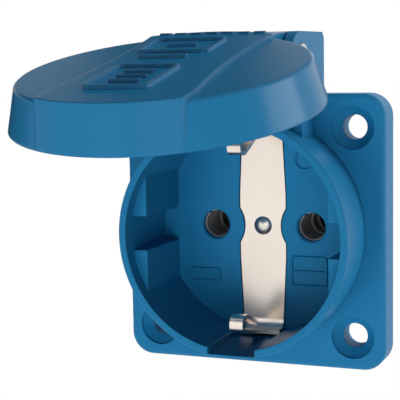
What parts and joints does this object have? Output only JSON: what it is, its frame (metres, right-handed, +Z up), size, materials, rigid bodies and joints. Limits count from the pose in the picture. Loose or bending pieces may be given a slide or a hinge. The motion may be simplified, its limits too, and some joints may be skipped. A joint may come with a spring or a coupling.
{
  "type": "industrial panel socket outlet",
  "caption": "Blue two-pole and earth panel-mounted mains socket with a square flange, a round collar with side earth clips and a hinged round lid standing open above it",
  "frame": {"origin": "Centre of the square flange's rear mounting face, on the axis of the collar and of the four fixing holes", "axes": "+X to the right seen from the front, +Z up towards the hinge, and the front faces -Y"},
  "size_m": [0.05, 0.0927, 0.0611],
  "materials": {
    "blue_shell": "satin moulded",
    "plated_steel": "zinc plated",
    "seal_rubber": "matt",
    "earth_nickel": "nickel plated",
    "contact_metal": "nickel plated",
    "grey_insulator": "matt moulded"
  },
  "bodies": {
    "base": {"housing": "blue_shell", "panel_gasket": "seal_rubber", "hinge_pin": "plated_steel", "earth_strip": "earth_nickel", "centre_rivet": "plated_steel", "earth_bracket": "contact_metal", "contact_left": "contact_metal", "contact_right": "contact_metal", "grip_ring_left": "plated_steel", "grip_ring_right": "plated_steel", "clamp_left": "plated_steel", "clamp_right": "plated_steel", "clamp_earth": "plated_steel", "terminal_screws": "plated_steel", "retainer": "grey_insulator", "retainer_screws": "plated_steel"},
    "lid": {"lid": "blue_shell", "lid_seal": "seal_rubber"}
  },
  "joints": [
    {"name": "lid_hinge", "type": "hinge", "parent": "base", "child": "lid", "pos_m": [0, -0.01466, 0.03046], "axis": [-1, 0, 0], "range_deg": [-77.4, 17.6]}
  ]
}
